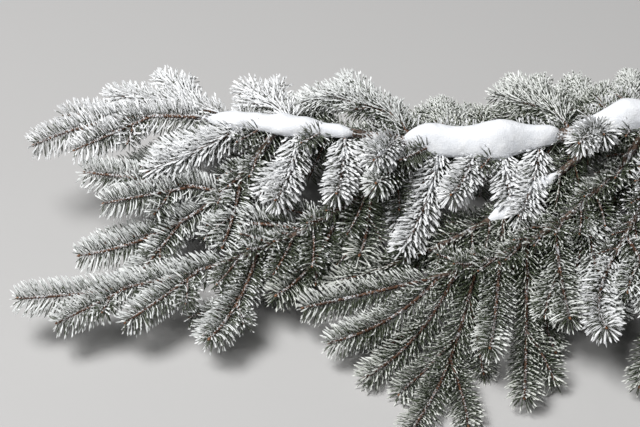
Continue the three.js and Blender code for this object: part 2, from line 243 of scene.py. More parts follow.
def make_many(name, skins, faces, finish, slot, **rest):
    """One piece from many skins of one kind: a row of points for each, and the faces that they all have."""
    count, points_each = skins.shape[:2]
    triangles = faces[None] + points_each * np.arange(count)[:, None, None]
    make_piece(name, skins.reshape(-1, 3), triangles.reshape(-1, 3), finish, slot, **rest)


print("every piece will ride on the body root")

# %% Directions and ripples
WAVES = 14
WAVE_SCATTER = (0.7, 1.4)


def unit(vectors):
    """The same directions with length 1."""
    return vectors / np.linalg.norm(vectors, axis=-1, keepdims=True)


def ripple(points, size, seed):
    """Smooth random relief of about -1 to 1: the sum of sine waves of about the given size in millimetres
    that run in seeded directions, each with its own seeded phase."""
    random = np.random.default_rng(seed)
    ways = unit(random.normal(size=(WAVES, 3))) * random.uniform(*WAVE_SCATTER, (WAVES, 1))
    phases = points @ (ways * 2 * np.pi / size).T + random.uniform(0, 2 * np.pi, WAVES)
    return np.sin(phases).sum(-1) / WAVES**0.5


along_line = np.linspace([0, 0, 0], [100, 0, 0], 1000)
print("a ripple's height along a line is usually about", ripple(along_line, 5.0, 1).std().round(2))

# %% [markdown]
# ## How the branch grows
#
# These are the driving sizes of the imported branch, and the rule that it grew by, written again. The limb
# runs from its sawn face towards -X. Boughs and sprays leave it with a swing and a rise: swing 0 runs on
# towards the limb's tip, +90 towards the near side, and rise is the slope above level ground. Each
# changes evenly from the root to the tip, which bends the shoot. Every shoot could be drawn as a curve by
# hand, but two angles at each end say the same in one line of a table, and are easy to change.

# %% Driving sizes, in millimetres and degrees
CUT_FACE = np.array(frame["record"]["mounts"][0]["pos_m"]) / MM
LIMB_RADII = (8.5, 2.6)
BOUGH_RADII = (3.6, 2.2)
SHOOT_RADIUS = 2.2
REST_HEIGHT = 9.0
SETTLING = 4.0
STEP = 5.0
CLEARANCE = 0.3
SIDE_SHOOT_EVERY = 46.0
FIRST_SIDE_SHOOT = 0.1
SIDE_SHOOT_SPAN = 0.54
SIDE_SHOOT_SHARE = (0.68, 0.86)
SIDE_SHOOT_LENGTH = (26.0, 84.0)
SIDE_SHOOT_SWING = (28.0, 42.0)
SIDE_SHOOT_BEND = 16.0
SIDE_SHOOT_RISE = (-8.0, 6.0)
SIDE_SHOOT_DROOP = 12.0
SIDE_SHOOT_ROOM = 18.0
SIDE_SHOOT_SCATTER = 0.6
ROOT_REACH = 1.6
print("butt of the limb:", 2 * LIMB_RADII[0], "mm across, at", CUT_FACE)

# %% Limb and boughs
# Distance from the sawn face, place across it, and height.
LIMB_COURSE = [(0, 0, 120), (103, -2, 118), (172, -9, 106), (241, -14, 98), (310, -9, 102), (357, -4, 107)]
LIMB_COURSE += [(430, 4, 111), (484, 11, 112)]
LIMB_END = (-8, 3)  # swing and rise

# Name, distance along the limb, length, swing and rise at the root, and swing and rise at the tip.
BOUGHS = [
    ("bough_near_short", 421, 96, 58, -30, 34, -18),
    ("bough_near_long", 284, 205, 40, -19, 22, -6),
    ("bough_near_middle", 120, 190, 38, -24, 24, -10),
    ("bough_near_front", 90, 250, 60, -20, 9, -10),
    ("bough_near_butt", 45, 150, 52, -20, 60, -20),
    ("bough_far_tip", 352, 92, -48, -14, -34, -24),
    ("bough_far_middle", 212, 120, -54, -16, -36, -26),
    ("bough_far_butt", 74, 140, -56, -20, -38, -28),
]
print(len(BOUGHS), "boughs")

# %% Leading shoots of the sprays
# As for the boughs, with the bearer after the name. END means that a shoot runs on from the bearer's tip,
# with the swing and rise that the bearer has there.
END = None
SPRAYS = [
    ("limb_leader", "limb", END, 154, 0, 0, 12, -22),
    ("limb_under_leader", "limb", 462, 118, 18, -30, 4, -12),
    ("limb_far_leader", "limb", 452, 116, -28, 2, -16, -8),
    ("limb_near_1", "limb", 446, 96, 40, -8, 22, -10),
    ("limb_near_2", "limb", 402, 86, 84, -30, 70, 8),
    ("limb_near_3", "limb", 361, 76, 88, -26, 80, 14),
    ("limb_near_4", "limb", 316, 62, 80, 26, 62, 8),
    ("limb_near_5", "limb", 300, 80, 62, -8, 70, 24),
    ("limb_near_6", "limb", 276, 112, 78, -26, 64, -8),
    ("limb_near_7", "limb", 244, 68, 72, -16, 66, 16),
    ("limb_near_8", "limb", 222, 58, 98, -30, 88, 2),
    ("limb_near_9", "limb", 188, 84, 80, -28, 68, 4),
    ("limb_near_10", "limb", 138, 62, 76, 30, 62, 10),
    ("limb_near_11", "limb", 64, 70, 84, 24, 66, 0),
    ("limb_far_1", "limb", 404, 80, -62, 8, -44, -16),
    ("limb_far_2", "limb", 300, 112, -52, 34, 0, -30),
    ("limb_far_3", "limb", 160, 96, -70, 12, -50, -22),
    ("near_short_1", "bough_near_short", END, 116, 34, -18, 8, -4),
    ("near_short_2", "bough_near_short", 74, 118, -4, 10, -12, -2),
    ("near_short_3", "bough_near_short", 52, 66, 84, -20, 70, -24),
    ("near_long_1", "bough_near_long", END, 178, 22, -8, 8, 4),
    ("near_long_2", "bough_near_long", 176, 100, 76, -24, 60, 4),
    ("near_long_3", "bough_near_long", 96, 96, 66, -34, 48, 6),
    ("near_long_4", "bough_near_long", 62, 66, 86, -36, 76, 10),
    ("near_long_5", "bough_near_long", 132, 76, -14, 4, -4, -10),
    ("near_middle_1", "bough_near_middle", END, 88, 16, -12, 6, -14),
    ("near_middle_2", "bough_near_middle", 112, 76, 82, -20, 70, -30),
    ("near_front_1", "bough_near_front", END, 108, 10, -14, 12, -6),
    ("near_front_2", "bough_near_front", 240, 106, 40, -26, 22, 2),
    ("near_front_3", "bough_near_front", 226, 122, 58, -36, 38, -4),
    ("near_front_4", "bough_near_front", 208, 181, 74, -36, 64, -2),
    ("near_front_5", "bough_near_front", 186, 104, 84, -26, 80, 12),
    ("near_front_6", "bough_near_front", 160, 150, 88, -40, 84, 2),
    ("near_front_7", "bough_near_front", 130, 104, 92, -30, 92, 14),
    ("near_front_8", "bough_near_front", 96, 120, 98, -38, 92, 6),
    ("near_butt_1", "bough_near_butt", END, 104, 60, -20, 100, 22),
    ("near_butt_2", "bough_near_butt", 128, 88, 106, 6, 92, -24),
    ("near_butt_3", "bough_near_butt", 100, 184, 102, -30, 82, -2),
    ("near_butt_4", "bough_near_butt", 56, 132, 106, -20, 88, -22),
    ("far_tip_1", "bough_far_tip", END, 104, -34, -24, -22, -20),
    ("far_tip_2", "bough_far_tip", 56, 76, -94, -12, -78, -26),
    ("far_middle_1", "bough_far_middle", END, 112, -36, -26, -24, -14),
    ("far_middle_2", "bough_far_middle", 78, 96, -96, -14, -78, -26),
    ("far_butt_1", "bough_far_butt", END, 124, -38, -26, -26, -14),
    ("far_butt_2", "bough_far_butt", 96, 104, -98, -14, -80, -24),
    ("far_butt_3", "bough_far_butt", 50, 92, -112, -4, -92, -24),
]
print(len(SPRAYS), "sprays")

# %% [markdown]
# A course is the line that a piece grows along. The limb's course is a smooth curve through a few
# measured points, and a shoot's course is a chain of short steps that each turn a little. The ground
# bears a drooping shoot: its height settles smoothly on the needles under it.

# %% Courses
class Course:
    """A line of points, with the length up to each."""

    def __init__(self, points):
        self.points = np.asarray(points, float)
        steps = np.linalg.norm(np.diff(self.points, axis=0), axis=1)
        self.lengths = np.concatenate([[0.0], np.cumsum(steps)])
        self.length = self.lengths[-1]

    def at(self, distances):
        """Points at these distances along the line, and the direction of the step that each lies in."""
        distances = np.atleast_1d(distances)
        step = np.clip(np.searchsorted(self.lengths, distances), 1, len(self.lengths) - 1)
        share = (distances - self.lengths[step - 1]) / (self.lengths[step] - self.lengths[step - 1])
        along = self.points[step] - self.points[step - 1]
        return self.points[step - 1] + share[:, None] * along, unit(along)


print("a course of two steps is", Course([(0, 0, 0), (3, 4, 0), (3, 4, 5)]).length, "mm long")

# %% Growing a course
def heading(swing, rise):
    """The direction with a swing and a rise in degrees."""
    swing, rise = np.radians(swing), np.radians(rise)
    return np.stack([-np.cos(swing) * np.cos(rise), -np.sin(swing) * np.cos(rise), np.sin(rise)], -1)


def grow(root, length, swing, rise, end_swing, end_rise):
    """Steps of equal length whose swing and rise change evenly. A height h over the rest height becomes half
    the sum of h and the root of h squared plus SETTLING squared, which never falls below the rest height."""
    steps = max(3, math.floor(length / STEP + 0.5))
    share = (np.arange(steps) + 0.5) / steps
    ways = heading(swing + share * (end_swing - swing), rise + share * (end_rise - rise))
    points = root + np.cumsum(ways * length / steps, axis=0)
    spare = points[:, 2] - REST_HEIGHT
    points[:, 2] = REST_HEIGHT + (spare + np.sqrt(spare**2 + SETTLING**2)) / 2
    return Course(np.concatenate([[root], points]))


def through(points, per_span):
    """A smooth curve through the points: on each span a cubic whose slope at a point is half of the way
    from the point before it to the point after it."""
    points = np.asarray(points, float)
    padded = np.concatenate([[2 * points[0] - points[1]], points, [2 * points[-1] - points[-2]]])
    place = np.linspace(0, len(points) - 1, len(points) * per_span + 1)
    span = np.minimum(place.astype(int), len(points) - 2)
    t = (place - span)[:, None]
    before, start, end, after = (padded[span + k] for k in range(4))
    leave, arrive = (end - before) / 2, (after - start) / 2
    bend = 3 * (end - start) - 2 * leave - arrive
    return start + leave * t + bend * t**2 + (2 * (start - end) + leave + arrive) * t**3


measured = [(CUT_FACE[0] - far, CUT_FACE[1] + side, up) for far, side, up in LIMB_COURSE]
limb = Course(through(measured, per_span=12))
print("limb is", round(limb.length), "mm long")

# %% [markdown]
# Boughs start at the limb's skin, and the leading shoot of each spray at a bough's skin or at its end.
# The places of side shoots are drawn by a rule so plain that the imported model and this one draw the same.

# %% Wood, shoots and seeded numbers
class Wood:
    """A limb or bough: its course, its radii at the root and at the tip, and its end, which is the swing and
    rise at the tip."""

    def __init__(self, name, course, radii, end):
        self.name, self.course, self.radii, self.end = name, course, radii, end

    def radius(self, distance):
        """The radius at this distance from the root, on a straight taper."""
        root, tip = self.radii
        return root + (tip - root) * distance / self.course.length

    def root(self, distance, swing, rise, radius):
        """Where a shoot of this radius starts outside the wood, with its own edge clear of it."""
        (point,), (tangent,) = self.course.at(distance)
        way = heading(swing, rise)
        along = way @ tangent
        out = (self.radius(distance) + CLEARANCE + radius * abs(along)) / math.sqrt(1 - along**2)
        return point + out * way


# Radii at the root and at the tip of the woody core of a shoot of each order.
CORE = {0: (1.55, 1.05), 1: (1.25, 0.85), 2: (0.95, 0.65)}


class Shoot:
    """A shoot of a spray. Order 0 leads it, order 1 stands on a leading one, and order 2 is a fine twig.
    Exposed is the share of the rime that reaches it."""

    def __init__(self, spray, course, order, ends=None, exposed=1.0):
        self.spray, self.course, self.order, self.ends = spray, course, order, ends
        self.radii, self.exposed = CORE[order], exposed


def seeded(seed):
    """Numbers from 0 to 1, the same on every run: each state is the last one times 1664525 plus
    1013904223, kept below two to the 32."""
    state = (seed * 2654435761) % 2**32
    while True:
        state = (state * 1664525 + 1013904223) % 2**32
        yield state / 2**32


print("first number of seed 1:", round(next(seeded(1)), 4))

# %% Grow the boughs and leading shoots
wood = {"limb": Wood("limb", limb, LIMB_RADII, LIMB_END)}
for name, distance, length, *bends in BOUGHS:
    start = wood["limb"].root(distance, *bends[:2], BOUGH_RADII[0])
    wood[name] = Wood(name, grow(start, length, *bends), BOUGH_RADII, bends[2:])

shoots = []
for name, bearer_name, distance, length, *bends in SPRAYS:
    bearer = wood[bearer_name]
    if distance is END:
        bends[:2] = bearer.end
        _, (tangent,) = bearer.course.at(bearer.course.length)
        start = bearer.course.points[-1] + CLEARANCE * tangent
    else:
        start = bearer.root(distance, *bends[:2], SHOOT_RADIUS)
    shoots.append(Shoot(name, grow(start, length, *bends), 0, bends))
leads = list(shoots)
print(len(leads), "leading shoots, together", round(sum(s.course.length for s in leads) / 1000, 1), "m")

# %% [markdown]
# Side shoots stand alternately to the left and right. One that would come too close to anything that it
# doesn't grow from is left out, which is how a spray keeps to its own space.

# %% Room to grow
def distance_to_steps(points, starts, ends):
    """Shortest distance from each point to any of the straight steps from starts to ends."""
    along = ends - starts
    share = np.einsum("psk,sk->ps", points[:, None] - starts[None], along) / (along**2).sum(1)
    foot = starts[None] + np.clip(share, 0, 1)[..., None] * along[None]
    return np.linalg.norm(points[:, None] - foot, axis=-1).min(1)


def between(ends, share):
    """The value at this share of the way from the first end to the second."""
    return ends[0] + (ends[1] - ends[0]) * share


def crowded(course, bearer, room):
    """True where a course comes nearer than room to anything but its own bearer, away from its root."""
    tests = course.points[np.linalg.norm(course.points - course.points[0], axis=1) > ROOT_REACH * room]
    others = [each.course for each in [*wood.values(), *shoots] if each.course is not bearer]
    starts = np.concatenate([other.points[:-1] for other in others])
    ends = np.concatenate([other.points[1:] for other in others])
    return len(tests) > 0 and bool((distance_to_steps(tests, starts, ends) < room).any())


touching = sum(crowded(lead.course, lead.course, CLEARANCE) for lead in leads)
print("leading shoots that touch another piece:", touching)

# %% Side shoots
for seed, lead in enumerate(leads, start=1):
    random = seeded(seed)
    length = lead.course.length
    swing, rise, end_swing, end_rise = lead.ends
    count = int(length // SIDE_SHOOT_EVERY)
    hand = -1 if next(random) < 0.5 else 1
    for i in range(count):
        place = (i + SIDE_SHOOT_SCATTER * next(random)) / count
        distance = length * (FIRST_SIDE_SHOOT + SIDE_SHOOT_SPAN * place)
        reach = np.clip((length - distance) * between(SIDE_SHOOT_SHARE, next(random)), *SIDE_SHOOT_LENGTH)
        out = between((swing, end_swing), distance / length) + hand * between(SIDE_SHOOT_SWING, next(random))
        up = between((rise, end_rise), distance / length) + between(SIDE_SHOOT_RISE, next(random))
        (start,), _ = lead.course.at(distance)
        course = grow(start, reach, out, up, out - hand * SIDE_SHOOT_BEND, up - SIDE_SHOOT_DROOP)
        if not crowded(course, lead.course, SIDE_SHOOT_ROOM):
            shoots.append(Shoot(lead.spray, course, 1))
        hand = -hand
print("side shoots:", len(shoots) - len(leads))

# %% [markdown]
# ## Finer twigs
#
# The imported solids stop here. On the real branch the same rule goes on one order finer: twiglets fill the
# gaps that are left between the side shoots, and short twigs stand and hang along the limb and boughs.
# They stay within the reach of the shoots that are there already. The plump sprays in the middle and on
# the right have no twiglets, so each of their shoots stands out as a finger with dark gaps beside it.
# None stand up on the limb and the middle bough, which bear the snow.

# %% Kinds of twig
TWIG_BEND = 14.0
TWIG_DROOP = 8.0
SPACING_SCATTER = (0.8, 1.2)
SIDEWAYS = dict(every=9, lengths=(26, 54), lean=(44, 72), rises=(-16, 14), exposed=0.5, room=12)
HANGING = dict(every=9, lengths=(28, 56), lean=(20, 75), rises=(-66, -34), exposed=0.3, room=7)
UPRIGHT = dict(every=10, lengths=(16, 30), lean=(15, 50), rises=(14, 42), exposed=0.6, room=12)
TWIGLET = dict(every=19, lengths=(20, 34), lean=(36, 52), rises=(-16, 14), exposed=0.8, room=12)


def add_twigs(spray, bearer, span, seed, every, lengths, lean, rises, exposed, room):
    """Twigs along one course, left and right in turn. The span is the distance at which they begin and the
    share of the course at which they end. Each leans out from the course, rises or hangs, and droops."""
    random = np.random.default_rng(seed)
    hand = random.choice([-1, 1])
    distance = span[0] + every * random.uniform(0, 0.5)
    while distance < span[1] * bearer.length:
        (start,), (tangent,) = bearer.at(distance)
        swing = np.degrees(np.arctan2(-tangent[1], -tangent[0])) + hand * random.uniform(*lean)
        rise = np.degrees(np.arcsin(tangent[2])) + random.uniform(*rises)
        bent = swing - hand * TWIG_BEND, rise - TWIG_DROOP
        course = grow(start, random.uniform(*lengths), swing, rise, *bent)
        if not crowded(course, bearer, room):
            shoots.append(Shoot(spray, course, 2, exposed=exposed))
        hand = -hand
        distance += every * random.uniform(*SPACING_SCATTER)


print("a hanging twig falls by", HANGING["rises"], "degrees")

# %% Grow the twigs
SPAN_ON_WOOD = (26.0, 0.95)
SPAN_ON_SHOOT = (14.0, 0.6)
SHORTEST_BEARER = 40.0
PLUMP = ("limb_near_", "near_front", "near_butt")
SNOWED_ON = ("limb", "bough_near_middle")

grown = list(shoots)
spray_on = {bearer: name for name, bearer, distance, *_ in SPRAYS if distance is END}
for number, piece in enumerate(wood.values()):
    here = spray_on[piece.name], piece.course, SPAN_ON_WOOD
    add_twigs(*here, 500 + number, **SIDEWAYS)
    add_twigs(*here, 600 + number, **HANGING)
    if piece.name not in SNOWED_ON:
        add_twigs(*here, 650 + number, **UPRIGHT)
for number, shoot in enumerate(grown):
    if shoot.course.length > SHORTEST_BEARER and not shoot.spray.startswith(PLUMP):
        add_twigs(shoot.spray, shoot.course, SPAN_ON_SHOOT, 700 + number, **TWIGLET)
total = sum(shoot.course.length for shoot in shoots)
print("fine twigs:", len(shoots) - len(grown), "all shoots together", round(total / 1000, 1), "m")

# %% [markdown]
# ## Frames along a course
#
# Bark and needles are placed around a course, so each place on it needs two directions square to it. One
# points as far up as it can, and the other to the side. Directions carried from step to step would do for
# bark, but needles and rime differ between the top and the underside, so up has to be known. A course that
# is smoothed first has no corners.

# %% Directions square to a course
def smoothed(course, distances):
    """Points at these distances with the corners of the steps rounded off, and smooth tangents. A point is
    half of the place on the line and a quarter each of those a little before and after it."""
    reach = min(STEP, course.length / 6)
    nearby = [course.at(distances + shift)[0] for shift in (-reach, 0, reach)]
    points = 0.25 * nearby[0] + 0.5 * nearby[1] + 0.25 * nearby[2]
    return points, unit(nearby[2] - nearby[0])


def square_to(tangents):
    """For each tangent, the direction nearest to straight up that is square to it, and the tangent's cross
    product with it. A trace of another direction settles it for a tangent that is upright."""
    up = np.array([0.0, 0.0, 1.0]) - tangents * tangents[:, 2:]
    up = unit(up + 1e-6 * np.array([1.0, 0.3, 0.0]))
    return up, np.cross(tangents, up)


def turns(sides):
    """Evenly spread angles once round, in radians."""
    return 2 * np.pi * np.arange(sides) / sides


def outward(turn, up, side):
    """The direction square to a course that stands at this turn from up towards the side."""
    return np.cos(turn)[..., None] * up + np.sin(turn)[..., None] * side


def tube(course, distances, radii, end):
    """A closed skin round a course. radii is one row of radii for each distance, one for each side. The last
    point stands out by end beyond the last ring."""
    points, tangents = smoothed(course, distances)
    up, side = square_to(tangents)
    sides = radii.shape[1]
    rings = points[:, None] + radii[..., None] * outward(turns(sides), up[:, None], side[:, None])
    ends = points[:1], points[-1:] + end * tangents[-1:]
    return np.concatenate([ends[0], rings.reshape(-1, 3), ends[1]]), skin_faces(len(distances), sides)


_, at_middle = smoothed(limb, np.array([limb.length / 2]))
print("up and side square to the limb at its middle:", *(way.round(2) for way in square_to(at_middle)))

# %% [markdown]
# ## Bark of the limb and boughs
#
# Young spruce wood keeps the cushions that its needles stood on. They run round it in two sets of steep
# spirals, and between them the bark is cracked and flaky. It swells where a year's growth ended. An image
# could displace a plain tube, but a sum of waves puts each cushion where two spirals cross, on every bough
# alike. All of that is relief in the mesh. A bump in the shader adds only the finest grain.

# %% Finish of old bark
BARK_DARK = (0.034, 0.021, 0.015)
BARK_LIGHT = (0.125, 0.082, 0.058)
RIME_WHITE = (0.86, 0.89, 0.93)

bark = Finish("old_bark", Roughness=0.88)
grain = bark.noise(0.0035, detail=5.0)
dust = (bark.noise(0.0022, detail=3.0) + bark.noise(0.012) * 0.8).between(0.93, 1.15)
wood_colour = bark.mottled(grain, BARK_DARK, BARK_LIGHT, reach=0.16)
bark.colour(bark.mixed(dust * 0.8, wood_colour, RIME_WHITE))
bark.relief(grain, 0.0006)
print("old bark is ready")

# %% Relief of old bark
YEAR_LENGTH, YEAR_SHIFT = 92.0, 20.0
SWELLING, SWELLING_LENGTH = 0.10, 5.0
FLAKE_SIZE, FLAKE_SHARE = 5.0, 0.035
CRACK_SIZE, CRACK_DEPTH = 3.2, 0.26
CUSHION_HEIGHT = 0.42
SLIMMED = 0.97
FINER_ROUND = 2.2
SPIRALS = ((5, 1.7), (-8, 1.3))  # number in the set, and millimetres along for each radian round


def bark_radii(piece, distances, sides):
    """Radius on a grid of distance and turn. It is the taper, slimmed a little, plus a swelling where each
    year's growth ended, plus needle cushions where the crests of two crossing sets of spirals meet, plus
    flakes, less cracks."""
    far, around = np.meshgrid(distances, turns(sides), indexing="ij")
    taper = piece.radius(far)
    from_year_end = (far + YEAR_SHIFT) % YEAR_LENGTH - YEAR_LENGTH / 2
    year = np.exp(-((from_year_end / SWELLING_LENGTH) ** 2))
    first, second = (np.clip(np.cos(count * around + far / pitch), 0, 1) for count, pitch in SPIRALS)
    skin = np.stack([far, taper * np.cos(around) * FINER_ROUND, taper * np.sin(around) * FINER_ROUND], -1)
    flakes = ripple(skin, FLAKE_SIZE, 11)
    cracks = np.clip(0.5 - np.abs(ripple(skin, CRACK_SIZE, 12)), 0, 1)
    body = taper * (SLIMMED + SWELLING * year + FLAKE_SHARE * flakes)
    return body + CUSHION_HEIGHT * (first * second) - CRACK_DEPTH * cracks


def bark_skin(piece, every, sides, end):
    """The radii of the bark carried along the whole course, with rings about this far apart."""
    distances = np.linspace(0, piece.course.length, int(piece.course.length / every))
    return tube(piece.course, distances, bark_radii(piece, distances, sides), end)


limb_skin = bark_skin(wood["limb"], every=1.6, sides=44, end=1.0)
make_piece("limb_bark", *limb_skin, bark, "bark", replaces=["limb"])
bough_names = [name for name in wood if name != "limb"]
bough_skins = [bark_skin(wood[name], every=1.8, sides=20, end=0.8) for name in bough_names]
make_piece("bough_bark", *joined(bough_skins), bark, "bark", replaces=bough_names)

# %% [markdown]
# ## The sawn face
#
# The saw leaves a pale disc with a ring for each year round the pith, inside a rim of bark. The disc is a
# shallow dish of relief: late wood stands a little prouder than early wood. Its rings are worked out from
# the distance to the pith, both in the mesh and in the colour, so they fall on each other.

# %% Sawn face
SAWN_RADIUS = 7.3
YEAR_RING = 1.05
LATE_WOOD_SHARPNESS = 3
LATE_WOOD_RELIEF = 0.05
STANDS_PROUD = 0.15
SUNK_BACK = 1.5
PITH = CUT_FACE + np.array([0.0, 0.5, -0.4])

rings, sides = 40, 48
across = np.linspace(1, 0.02, rings)[:, None] * SAWN_RADIUS
turn = turns(sides)[None]
flat = np.stack([np.zeros((rings, sides)), across * np.cos(turn), across * np.sin(turn)], -1)
from_pith = np.linalg.norm(flat + CUT_FACE - PITH, axis=-1)
late_wood = (0.5 - 0.5 * np.cos(2 * np.pi * from_pith / YEAR_RING)) ** LATE_WOOD_SHARPNESS
face = CUT_FACE + flat
face[..., 0] += STANDS_PROUD + LATE_WOOD_RELIEF * late_wood
ends = CUT_FACE - [SUNK_BACK, 0, 0], CUT_FACE + [0.17, 0, 0]
disc = np.concatenate([[ends[0]], face.reshape(-1, 3), [ends[1]]])
print("year rings in the sawn face:", int(SAWN_RADIUS / YEAR_RING))

# %% Finish of the sawn face
sawn = Finish("sawn_wood", Roughness=0.7)
shifted = sawn.node("ShaderNodeMapping", values={"Vector": sawn.place(), "Location": tuple(-PITH * MM)})
length = sawn.node("ShaderNodeVectorMath", {"operation": "LENGTH"}, {0: shifted}, output="Value")
turned_by = length * (2 * math.pi / (YEAR_RING * MM))
year = sawn.node("ShaderNodeMath", {"operation": "COSINE"}, {0: turned_by})
fleck = sawn.noise(0.0012, detail=4.0)
pale = sawn.mottled(fleck, (0.50, 0.33, 0.17), (0.66, 0.47, 0.27))
sawn.colour(sawn.mixed((0.5 - year * 0.5) ** LATE_WOOD_SHARPNESS * 0.6, pale, (0.30, 0.16, 0.07)))
sawn.relief(fleck, 0.0002)
make_piece("sawn_face", disc, skin_faces(rings, sides), sawn, "bark")

# %% [markdown]
# ## Bark of the shoots
#
# This year's and last year's shoots are red-brown and ribbed: under each needle a woody peg stands out. A
# ring of six sides every two and a half millimetres, with every second point pushed out, gives a twig its
# pegs. Pegs of their own would be finer, but there are tens of thousands, and needles hide their shape.
# Each twig starts inside the wood that bears it and tapers to a bud.

# %% Finish of the shoots
SHOOT_BARK = (0.150, 0.068, 0.032)
SHOOT_SHADE = (0.030, 0.015, 0.009)

twig_bark = Finish("shoot_bark", Roughness=0.75)
spots = twig_bark.noise(0.002, detail=3.0)
dust = (twig_bark.noise(0.0016, detail=2.0) + twig_bark.noise(0.010) * 0.7).between(0.90, 1.08)
twig_colour = twig_bark.mottled(spots, SHOOT_SHADE, SHOOT_BARK, reach=0.15)
twig_bark.colour(twig_bark.mixed(dust * 0.75, twig_colour, RIME_WHITE))
twig_bark.relief(spots, 0.0003)
print("bark of the shoots is ready")

# %% Skins of the shoots and buds
PEG_EVERY = 2.5
PEG_SIDES = 6
PEG_RADII = (1.22, 0.90)
# By the order of the shoot.
ROOT_START = {0: -4.5, 1: -1.0, 2: -1.0}
BUD_LENGTH = {0: 3.4, 1: 2.8, 2: 2.1}
BUD_RADIUS = {0: 1.4, 1: 1.15, 2: 0.9}
# Where the rings of a bud lie along it, and how far its scales bulge there.
BUD_RINGS = np.array([0.06, 0.32, 0.62, 0.86])
BUD_BULGE = np.array([1.0, 1.08, 0.96, 1.1])
BUD_SUNK = 0.3


def twig_skin(shoot):
    """A taper from the root to the tip. Every second point of a ring stands out, and on the next ring the
    others do."""
    length = shoot.course.length
    distances = np.linspace(ROOT_START[shoot.order], length, max(4, int(length / PEG_EVERY)))
    row, column = np.meshgrid(np.arange(len(distances)), np.arange(PEG_SIDES), indexing="ij")
    pegs = np.choose((row + column) % 2, PEG_RADII)
    radii = between(shoot.radii, np.clip(distances / length, 0, 1))[:, None] * pegs
    return tube(shoot.course, distances, radii, end=0.6)


def bud_skin(shoot):
    """An egg shape: half a sine wave of radius along its length, fullest near its foot, with scales that
    bulge on every second ring."""
    length = BUD_LENGTH[shoot.order]
    radii = BUD_RADIUS[shoot.order] * np.sin(np.pi * BUD_RINGS**0.8) * BUD_BULGE
    points, tangents = smoothed(shoot.course, np.array([shoot.course.length]))
    middle = points + (length * BUD_RINGS - BUD_SUNK)[:, None] * tangents
    rings = middle[:, None] + radii[:, None, None] * outward(turns(PEG_SIDES), *square_to(tangents))
    skin = np.concatenate([points, rings.reshape(-1, 3), points + length * tangents])
    return skin, skin_faces(len(BUD_RINGS), PEG_SIDES)


make_piece("shoot_bark", *joined([twig_skin(shoot) for shoot in shoots]), twig_bark, "bark")
bud_scales = Finish("bud_scales", Roughness=0.5)
scale_spots = bud_scales.noise(0.001, detail=2.0)
bud_scales.colour(bud_scales.mottled(scale_spots, (0.11, 0.045, 0.020), (0.26, 0.12, 0.055), reach=0.15))
make_piece("buds", *joined([bud_skin(shoot) for shoot in shoots]), bud_scales, "bark")

# %% [markdown]
# ## Needles
#
# Needles leave a shoot in a spiral. Each turns by the golden angle from the last one, so that none stands
# over another, and there are twenty and more to a centimetre. A needle leaves almost square to the shoot
# and curves forward, and those round the end bud are shorter and close in round it. On the sprays to the
# left the needles part along the side that faces the camera, so the brown shoot shows between two combs
# of needles. In most of the fan on the right the parting is only a thin brown line. On the plump sprays
# that hang from the limb the needles lean forward over the shoot and hide it. Old wood keeps some needles
# too. A particle system could scatter them, but its needles stand at random, and the rime needs to know
# where each one runs. So all are worked out as arrays first: where each stands, which way it starts and
# ends, and how long it is.

# %% Habit of the needles
# By the order of the shoot that they stand on.
NEEDLES_PER_CM = {0: 27.0, 1: 26.0, 2: 19.0, "old wood": 12.0}
NEEDLE_LENGTH = {0: 19.0, 1: 18.0, 2: 16.0, "old wood": 15.5}
NEEDLE_WIDTH = 1.3
GOLDEN_ANGLE = math.radians(137.508)
TURN_SCATTER = 0.09
FIRST_NEEDLE, LAST_NEEDLE = 2.0, 0.4  # from the root, and from the tip
SUNK_FOOT = 0.8

# Degrees between a shoot and the start of a needle, and what is taken off on a plump shoot and at a bud.
LEAN, PLUMP_LEAN, BUD_LEAN = 82.0, 28.0, 24.0
# Degrees that a needle curves forward, and what is taken off on a parted shoot and at a bud.
CURVE, PARTED_CURVE, BUD_CURVE = 34.0, 12.0, 20.0
ANGLE_SCATTER = 3.0
# Needles are shorter near the root of a shoot and near its bud: over what length, and by what share.
ROOT_STRETCH, SHORTER_AT_ROOT = 16.0, 0.26
BUD_STRETCH, SHORTER_AT_BUD = 13.0, 0.30
# A needle that points to the side has this share of the length, one on top less and one underneath more.
AT_THE_SIDE, SHORTER_ON_TOP = 0.95, 0.08
LENGTH_SCATTER = (0.9, 1.05)
print("needles on 10 cm of a leading shoot:", 10 * NEEDLES_PER_CM[0])

# %% Partings
NEAR_SIDE = heading(90, VIEW_RISE)
WIDEST_PARTING = 36.0
PARTINGS = {
    "limb_leader": 36,
    "limb_under": 36,
    "near_short": 32,
    "near_long": 24,
    "near_front": 10,
    "near_front_1": 24,
    "near_front_2": 18,
    "near_butt": 8,
}


def smoothstep(x):
    """0 below 0 and 1 above 1. Between them it is three times x squared less twice x cubed, which is level
    at both ends."""
    x = np.clip(x, 0, 1)
    return x * x * (3 - 2 * x)


def parting_of(spray, order):
    """Half the angle of the bare strip along the near side of a shoot, in degrees."""
    sizes = [size for start, size in PARTINGS.items() if spray.startswith(start)]
    return max(sizes, default=0) if order != "old wood" else 0


print("sprays with a parting:", sum(parting_of(lead.spray, 0) > 0 for lead in leads))

